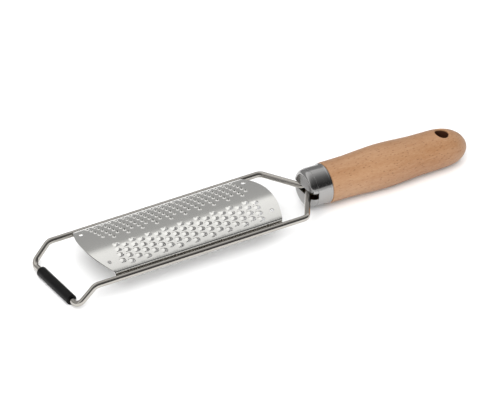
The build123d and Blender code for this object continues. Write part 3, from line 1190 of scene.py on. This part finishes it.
def rolled_stainless_sheet():
    """Cold-rolled stainless sheet: satin, with a fine grain along the plate and faint handling marks."""
    material, tree, shader = new_material(
        "rolled_stainless_sheet", Base_Color=finish_colour("sheet"), Metallic=1.0)
    place = add_node(tree, "ShaderNodeTexCoord")
    # The real grain is narrower. This one is as wide as a picture needs.
    grain_length_mm, grain_width_mm = 3.0, 0.35
    stretch = add_node(tree, "ShaderNodeMapping", None, {
        "Vector": place.outputs["Object"],
        "Scale": (1000 / grain_length_mm, 1000 / grain_width_mm, 1000 / grain_width_mm)})
    grain = add_node(tree, "ShaderNodeTexNoise", None, {
        "Vector": stretch.outputs["Vector"], "Scale": 1.0, "Detail": 2.0})
    mark_size_mm = 22.0
    marks = add_node(tree, "ShaderNodeTexNoise", None, {
        "Vector": place.outputs["Object"], "Scale": 1000 / mark_size_mm, "Detail": 4.0})
    mixed = add_node(tree, "ShaderNodeMath", {"operation": "MULTIPLY_ADD"}, {
        0: grain.outputs["Fac"], 1: 0.5, 2: marks.outputs["Fac"]})
    roughness = add_node(tree, "ShaderNodeMapRange", None, {
        "Value": mixed.outputs["Value"],
        "From Min": 0.5, "From Max": 1.0, "To Min": 0.1, "To Max": 0.16})
    bump = add_node(tree, "ShaderNodeBump", None, {
        "Height": grain.outputs["Fac"], "Strength": 0.12, "Distance": 0.01 * MM})
    tree.links.new(roughness.outputs["Result"], shader.inputs["Roughness"])
    tree.links.new(bump.outputs["Normal"], shader.inputs["Normal"])
    return material


def shaded_sheet_underside():
    """Underside of the sheet: a duller mill finish than the brushed top, and darker than it as painted
    shade, so that the holes show the shade beneath the plate.
    """
    return new_material("shaded_sheet_underside", Base_Color=finish_colour("sheet_back"), Metallic=1.0,
                        Roughness=0.42)[0]


def buffed_drawn_steel():
    """Deep-drawn steel, buffed on a wheel: mirror-like, with faint lines round the cup."""
    material, tree, shader = new_material(
        "buffed_drawn_steel", Base_Color=finish_colour("ferrule"), Metallic=1.0)
    place = add_node(tree, "ShaderNodeTexCoord")
    # The wheel's real lines are finer. These are as coarse as a picture needs.
    line_width_mm, line_length_mm = 0.4, 30.0
    stretch = add_node(tree, "ShaderNodeMapping", None, {
        "Vector": place.outputs["Object"],
        "Scale": (1000 / line_width_mm, 1000 / line_length_mm, 1000 / line_length_mm)})
    lines = add_node(tree, "ShaderNodeTexNoise", None, {
        "Vector": stretch.outputs["Vector"], "Scale": 1.0, "Detail": 3.0})
    roughness = add_node(tree, "ShaderNodeMapRange", None, {
        "Value": lines.outputs["Fac"], "From Min": 0.3, "From Max": 0.7, "To Min": 0.12, "To Max": 0.22})
    bump = add_node(tree, "ShaderNodeBump", None, {
        "Height": lines.outputs["Fac"], "Strength": 0.08, "Distance": 0.02 * MM})
    tree.links.new(roughness.outputs["Result"], shader.inputs["Roughness"])
    tree.links.new(bump.outputs["Normal"], shader.inputs["Normal"])
    return material


def heat_tinted_weld():
    """Resistance weld metal: dull, slightly pitted and straw-coloured by the heat."""
    material, tree, shader = new_material(
        "heat_tinted_weld", Metallic=1.0, Roughness=0.45)
    place = add_node(tree, "ShaderNodeTexCoord")
    pit_size_mm = 0.5
    pits = add_node(tree, "ShaderNodeTexNoise", None, {
        "Vector": place.outputs["Object"], "Scale": 1000 / pit_size_mm, "Detail": 2.0})
    tint = add_node(tree, "ShaderNodeValToRGB", None, {"Fac": pits.outputs["Fac"]}, [
        (0.35, finish_colour("weld_pits")), (0.65, finish_colour("weld"))])
    bump = add_node(tree, "ShaderNodeBump", None, {
        "Height": pits.outputs["Fac"], "Strength": 0.5, "Distance": 0.05 * MM})
    tree.links.new(tint.outputs["Color"], shader.inputs["Base Color"])
    tree.links.new(bump.outputs["Normal"], shader.inputs["Normal"])
    return material


def moulded_black_rubber():
    """Extruded black rubber: soft sheen, very fine matt texture and a trace of dust in it."""
    material, tree, shader = new_material("moulded_black_rubber", Specular_IOR_Level=0.14)
    place = add_node(tree, "ShaderNodeTexCoord")
    # The real texture is finer. This one is as coarse as a picture needs.
    texture_size_mm, dust_size_mm = 0.5, 5.0
    texture = add_node(tree, "ShaderNodeTexNoise", None, {
        "Vector": place.outputs["Object"], "Scale": 1000 / texture_size_mm, "Detail": 3.0})
    dust = add_node(tree, "ShaderNodeTexNoise", None, {
        "Vector": place.outputs["Object"], "Scale": 1000 / dust_size_mm, "Detail": 4.0})
    shade = add_node(tree, "ShaderNodeValToRGB", None, {"Fac": dust.outputs["Fac"]}, [
        (0.45, finish_colour("rubber")), (0.8, finish_colour("rubber_dust"))])
    roughness = add_node(tree, "ShaderNodeMapRange", None, {
        "Value": texture.outputs["Fac"], "To Min": 0.34, "To Max": 0.5})
    bump = add_node(tree, "ShaderNodeBump", None, {
        "Height": texture.outputs["Fac"], "Strength": 0.3, "Distance": 0.04 * MM})
    tree.links.new(shade.outputs["Color"], shader.inputs["Base Color"])
    tree.links.new(roughness.outputs["Result"], shader.inputs["Roughness"])
    tree.links.new(bump.outputs["Normal"], shader.inputs["Normal"])
    return material


def oiled_beech():
    """Turned and oiled beech: warm, close-grained, flecked with short dark pores along the grain."""
    material, tree, shader = new_material("oiled_beech", IOR=1.5)
    place = add_node(tree, "ShaderNodeTexCoord")
    # Length and width of each pattern in millimetres, and how far it is shifted to be unlike the rest.
    patterns = {
        "figure": (70, 7, 0.0),
        "cloud": (45, 20, 3.0),
        "fibre": (9, 0.6, 7.0),
        "fleck": (2.4, 0.9, 5.0),
        "pores": (3.6, 1.2, 11.0),
    }
    along_grain = {}
    for name, (length_mm, width_mm, shift) in patterns.items():
        stretch = add_node(tree, "ShaderNodeMapping", None, {
            "Vector": place.outputs["Object"], "Location": (shift, shift, shift),
            "Scale": (1000 / length_mm, 1000 / width_mm, 1000 / width_mm)})
        along_grain[name] = stretch.outputs["Vector"]
    figure = add_node(tree, "ShaderNodeTexNoise", None, {
        "Vector": along_grain["figure"], "Scale": 1.0, "Detail": 4.0, "Roughness": 0.55,
        "Distortion": 0.4})
    cloud = add_node(tree, "ShaderNodeTexNoise", None, {
        "Vector": along_grain["cloud"], "Scale": 1.0, "Detail": 2.0})
    fibre = add_node(tree, "ShaderNodeTexNoise", None, {
        "Vector": along_grain["fibre"], "Scale": 1.0, "Detail": 3.0, "Roughness": 0.6})
    fleck = add_node(tree, "ShaderNodeTexNoise", None, {
        "Vector": along_grain["fleck"], "Scale": 1.0, "Detail": 2.0, "Roughness": 0.7})
    pores = add_node(tree, "ShaderNodeTexVoronoi", {"feature": "F1"}, {
        "Vector": along_grain["pores"], "Scale": 1.0, "Randomness": 1.0})
    tone = add_node(tree, "ShaderNodeMath", {"operation": "MULTIPLY_ADD"}, {
        0: cloud.outputs["Fac"], 1: 0.55, 2: figure.outputs["Fac"]})
    toned = add_node(tree, "ShaderNodeMath", {"operation": "MULTIPLY_ADD"}, {
        0: fibre.outputs["Fac"], 1: 0.3, 2: tone.outputs["Value"]})
    flecked = add_node(tree, "ShaderNodeMath", {"operation": "MULTIPLY_ADD"}, {
        0: fleck.outputs["Fac"], 1: 0.7, 2: toned.outputs["Value"]})
    ripeness = add_node(tree, "ShaderNodeMapRange", None, {
        "Value": flecked.outputs["Value"], "From Min": 0.98, "From Max": 1.6})
    wood = add_node(tree, "ShaderNodeValToRGB", None, {"Fac": ripeness.outputs["Result"]}, [
        (0.0, finish_colour("wood_light")), (1.0, finish_colour("wood_dark"))])
    pore_mask = add_node(tree, "ShaderNodeMapRange", None, {
        "Value": pores.outputs["Distance"], "From Min": 0.12, "From Max": 0.28,
        "To Min": 0.6, "To Max": 0.0})
    # Inputs 6 and 7 of a colour mix are its two colours, and output 2 is the mixed one.
    skin = add_node(tree, "ShaderNodeMix", {"data_type": "RGBA"}, {
        "Factor": pore_mask.outputs["Result"], 6: wood.outputs["Color"], 7: finish_colour("wood_pore")})
    depth = add_node(tree, "ShaderNodeMath", {"operation": "MULTIPLY_ADD"}, {
        0: pore_mask.outputs["Result"], 1: -1.0, 2: fibre.outputs["Fac"]})
    roughness = add_node(tree, "ShaderNodeMapRange", None, {
        "Value": fibre.outputs["Fac"], "To Min": 0.42, "To Max": 0.6})
    bump = add_node(tree, "ShaderNodeBump", None, {
        "Height": depth.outputs["Value"], "Strength": 0.35, "Distance": 0.06 * MM})
    # Painted shade: the wood turns dark brown from half a millimetre to one and a half deep into the
    # hanging hole.
    hole_depth = add_node(tree, "ShaderNodeAttribute", {"attribute_name": "hole_depth"})
    hole_shade_share = add_node(tree, "ShaderNodeMapRange", None, {
        "Value": hole_depth.outputs["Fac"], "From Min": 0.5, "From Max": 1.5})
    finished = add_node(tree, "ShaderNodeMix", {"data_type": "RGBA"}, {
        "Factor": hole_shade_share.outputs["Result"], 6: skin.outputs[2], 7: finish_colour("wood_raw")})
    tree.links.new(finished.outputs[2], shader.inputs["Base Color"])
    tree.links.new(roughness.outputs["Result"], shader.inputs["Roughness"])
    tree.links.new(bump.outputs["Normal"], shader.inputs["Normal"])
    return material


def cast_epoxy():
    """Epoxy poured round the tangs: amber, cloudy and slightly glossy."""
    material, tree, shader = new_material("cast_epoxy", Roughness=0.3)
    place = add_node(tree, "ShaderNodeTexCoord")
    cloud_size_mm = 4.0
    cloud = add_node(tree, "ShaderNodeTexNoise", None, {
        "Vector": place.outputs["Object"], "Scale": 1000 / cloud_size_mm, "Detail": 3.0})
    tint = add_node(tree, "ShaderNodeValToRGB", None, {"Fac": cloud.outputs["Fac"]}, [
        (0.3, finish_colour("resin_cloud")), (0.7, finish_colour("resin"))])
    tree.links.new(tint.outputs["Color"], shader.inputs["Base Color"])
    return material


def studio_floor():
    """Matt white paper, which the lamps and the even light bring up to white, save for a shadow."""
    return new_material("studio_paper", Base_Color=grey(0.95), Roughness=0.9, Specular_IOR_Level=0.0)[0]


def studio_world():
    """Plain even light, white to the eye. Metal sees a soft box overhead and dim sides of the room."""
    world = bpy.data.worlds.new("studio")
    bpy.context.scene.world = world
    world.use_nodes = True
    tree = world.node_tree
    tree.nodes.clear()
    place = add_node(tree, "ShaderNodeTexCoord")
    axes = add_node(tree, "ShaderNodeSeparateXYZ", None, {"Vector": place.outputs["Generated"]})
    towards_front = add_node(tree, "ShaderNodeMath", {"operation": "MULTIPLY"}, {
        0: axes.outputs["Y"], 1: -1.0})
    turn = add_node(tree, "ShaderNodeMath", {"operation": "ARCTAN2"}, {
        0: axes.outputs["Z"], 1: towards_front.outputs["Value"]})
    share = add_node(tree, "ShaderNodeMapRange", None, {
        "Value": turn.outputs["Value"], "From Min": 0.0, "From Max": pi})
    room = add_node(tree, "ShaderNodeValToRGB", None, {"Fac": share.outputs["Result"]}, [
        (stop, grey(brightness)) for stop, brightness in ROOM_BRIGHTNESS])
    falloff = add_node(tree, "ShaderNodeMapRange", None, {
        "Value": axes.outputs["X"], "From Min": -0.1, "From Max": 0.5, "To Min": 1.3, "To Max": 1.05})
    path = add_node(tree, "ShaderNodeLightPath")
    even = add_node(tree, "ShaderNodeBackground", None, {"Color": grey(1.0), "Strength": 0.5})
    mirrored = add_node(tree, "ShaderNodeBackground", None, {
        "Color": room.outputs["Color"], "Strength": falloff.outputs["Result"]})
    white = add_node(tree, "ShaderNodeBackground", None, {"Color": grey(1.0), "Strength": 1.0})
    lit = add_node(tree, "ShaderNodeMixShader", None, {
        0: path.outputs["Is Glossy Ray"],
        1: even.outputs["Background"],
        2: mirrored.outputs["Background"]})
    seen = add_node(tree, "ShaderNodeMixShader", None, {
        0: path.outputs["Is Camera Ray"],
        1: lit.outputs["Shader"],
        2: white.outputs["Background"]})
    add_node(tree, "ShaderNodeOutputWorld", None, {"Surface": seen.outputs["Shader"]})


def add_lamp(name, place, size, power):
    """A square soft lamp, in metres and watts, that points at the zester and isn't mirrored in it."""
    data = bpy.data.lights.new(name, "AREA")
    data.size = size
    data.energy = power
    lamp = bpy.data.objects.new(name, data)
    bpy.context.scene.collection.objects.link(lamp)
    lamp.location = place
    lamp.rotation_euler = (-Vector(place)).to_track_quat("-Z", "Y").to_euler()
    lamp.visible_glossy = False


def build_stage():
    """Camera, pale floor, even light and two soft lamps, one in front and one overhead."""
    stage = bpy.context.scene.zester_stage
    low, high = cad_bounds
    centre = (low + high) / 2
    target = Vector((centre.x + stage.target_x, 0, centre.z + stage.target_z))
    back = Vector((sin(stage.azimuth) * cos(stage.elevation),
                   -cos(stage.azimuth) * cos(stage.elevation), sin(stage.elevation)))
    camera_data = bpy.data.cameras.new("camera")
    camera_data.lens = camera_data.sensor_width * stage.distance / stage.view_width
    camera_data.clip_end = 2 * stage.distance
    camera = bpy.data.objects.new("camera", camera_data)
    bpy.context.scene.collection.objects.link(camera)
    camera.location = target + back * stage.distance
    camera.rotation_euler = back.to_track_quat("Z", "Y").to_euler()
    bpy.context.scene.camera = camera

    half = stage.floor_size / 2
    corners = [(-half, -half, low.z), (half, -half, low.z), (half, half, low.z), (-half, half, low.z)]
    mesh = bpy.data.meshes.new("floor")
    mesh.from_pydata(corners, [], [(0, 1, 2, 3)])
    mesh.materials.append(studio_floor())
    floor = bpy.data.objects.new("floor", mesh)
    bpy.context.scene.collection.objects.link(floor)
    studio_world()
    add_lamp("front_lamp", place=(-2.2, -2.6, 3.0), size=3.8, power=262.0)
    add_lamp("top_lamp", place=(0.5, 0.6, 3.8), size=4.6, power=70.0)
    bpy.context.scene.view_settings.view_transform = "Standard"


class ZesterWireFrame(Operator):
    """Model the bent wire frame."""

    bl_idname = "zester.wire_frame"
    bl_label = "Wire frame"

    def execute(self, context):
        dress(build_wire_frame(drawn_stainless_wire()), "wire_frame")
        return {"FINISHED"}


class ZesterFootSleeve(Operator):
    """Model the rubber sleeve on the crossbar."""

    bl_idname = "zester.foot_sleeve"
    bl_label = "Foot sleeve"

    def execute(self, context):
        dress(build_foot_sleeve(moulded_black_rubber()), "foot_sleeve")
        return {"FINISHED"}


class ZesterGraterPlate(Operator):
    """Model the toothed plate and give the welds that hold it their finish."""

    bl_idname = "zester.grater_plate"
    bl_label = "Grater plate and welds"

    def execute(self, context):
        plate = build_grater_plate(rolled_stainless_sheet())
        # The faces that look down take the darker underside: painted shade under the plate.
        coat_underside(plate, shaded_sheet_underside())
        dress(plate, "grater_plate")
        coat("spot_welds", heat_tinted_weld())
        return {"FINISHED"}


class ZesterFerrule(Operator):
    """Model the drawn ferrule."""

    bl_idname = "zester.ferrule"
    bl_label = "Ferrule"

    def execute(self, context):
        dress(build_ferrule(buffed_drawn_steel()), "ferrule")
        return {"FINISHED"}


class ZesterHandle(Operator):
    """Model the turned handle and give the resin round the tangs its finish."""

    bl_idname = "zester.handle"
    bl_label = "Handle and resin"

    def execute(self, context):
        dress(build_handle(oiled_beech()), "handle")
        coat("resin_plug", cast_epoxy())
        return {"FINISHED"}


class ZesterStageOperator(Operator):
    """Set up the camera, the floor and the light."""

    bl_idname = "zester.stage"
    bl_label = "Stage"

    def execute(self, context):
        build_stage()
        return {"FINISHED"}


class ZesterPanel(Panel):
    """Lists the pieces and the sizes and colours that they are made from."""

    bl_idname = "ZESTER_PT_pieces"
    bl_label = "Rasp zester"
    bl_space_type = "VIEW_3D"
    bl_region_type = "UI"
    bl_category = "Zester"

    def draw(self, context):
        for operator in PIECE_OPERATORS:
            self.layout.operator(operator.bl_idname)
        for name in PROPERTY_GROUPS:
            box = self.layout.box()
            group = getattr(context.scene, name)
            for prop in group.bl_rna.properties:
                if prop.type in {"FLOAT", "INT"}:
                    box.prop(group, prop.identifier)


PIECE_OPERATORS = (
    ZesterWireFrame, ZesterFootSleeve, ZesterGraterPlate, ZesterFerrule, ZesterHandle,
    ZesterStageOperator,
)
PROPERTY_GROUPS = {
    "zester_wire": ZesterWireSizes,
    "zester_plate": ZesterPlateSizes,
    "zester_coarse": ZesterCoarseTeeth,
    "zester_fine": ZesterFineTeeth,
    "zester_ferrule": ZesterFerruleSizes,
    "zester_handle": ZesterHandleSizes,
    "zester_finishes": ZesterFinishes,
    "zester_stage": ZesterStage,
}


def register():
    """Make the pieces, their sizes and the panel known to Blender."""
    for group in PROPERTY_GROUPS.values():
        bpy.utils.register_class(group)
    for name, group in PROPERTY_GROUPS.items():
        setattr(bpy.types.Scene, name, PointerProperty(type=group))
    for operator in PIECE_OPERATORS:
        bpy.utils.register_class(operator)
    bpy.utils.register_class(ZesterPanel)


def unregister():
    """Take back what register made known."""
    bpy.utils.unregister_class(ZesterPanel)
    for operator in PIECE_OPERATORS:
        bpy.utils.unregister_class(operator)
    for name, group in PROPERTY_GROUPS.items():
        delattr(bpy.types.Scene, name)
        bpy.utils.unregister_class(group)


def main():
    """Make the pieces known, model every piece and set up the stage."""
    register()
    bpy.ops.zester.wire_frame()
    bpy.ops.zester.foot_sleeve()
    bpy.ops.zester.grater_plate()
    bpy.ops.zester.ferrule()
    bpy.ops.zester.handle()
    bpy.ops.zester.stage()


if __name__ == "__main__":
    main()
